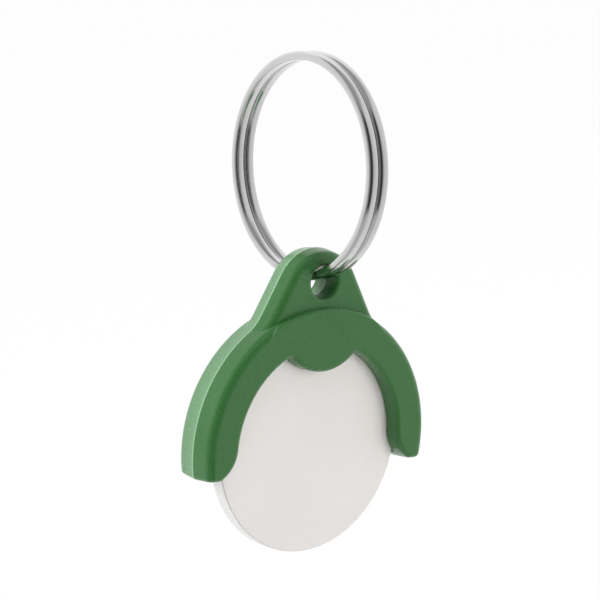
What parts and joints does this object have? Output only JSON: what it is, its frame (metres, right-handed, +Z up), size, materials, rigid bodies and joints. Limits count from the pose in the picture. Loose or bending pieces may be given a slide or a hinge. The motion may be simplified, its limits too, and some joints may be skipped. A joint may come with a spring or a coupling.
{
  "type": "coin holder keyring",
  "caption": "Moulded plastic arch that grips a shopping-trolley token in its slot and hangs by a lug from a split ring.",
  "frame": {"origin": "highest point inside the split ring, where the keyring hangs from a hook or a key", "axes": "+X across the holder to its right, seen from the front; +Y from the holder's front to its back; +Z up, from the token to the split ring"},
  "size_m": [0.029, 0.0236, 0.0519],
  "materials": {
    "split_ring": "bright nickel plate on spring steel",
    "holder": "semi-gloss moulded green",
    "token": "pale satin plate"
  },
  "bodies": {
    "split_ring": {"split_ring": "split_ring"},
    "holder": {"holder": "holder"},
    "token": {"token": "token"}
  },
  "joints": [
    {"name": "holder_swing", "type": "hinge", "parent": "split_ring", "child": "holder", "pos_m": [0.00011, -0.00182, -0.02232], "axis": [0, 1, 0], "range_deg": [-130, 130]},
    {"name": "token_slide", "type": "slide", "parent": "holder", "child": "token", "axis": [0, 0, -1], "range_m": [0, 0.022]}
  ]
}
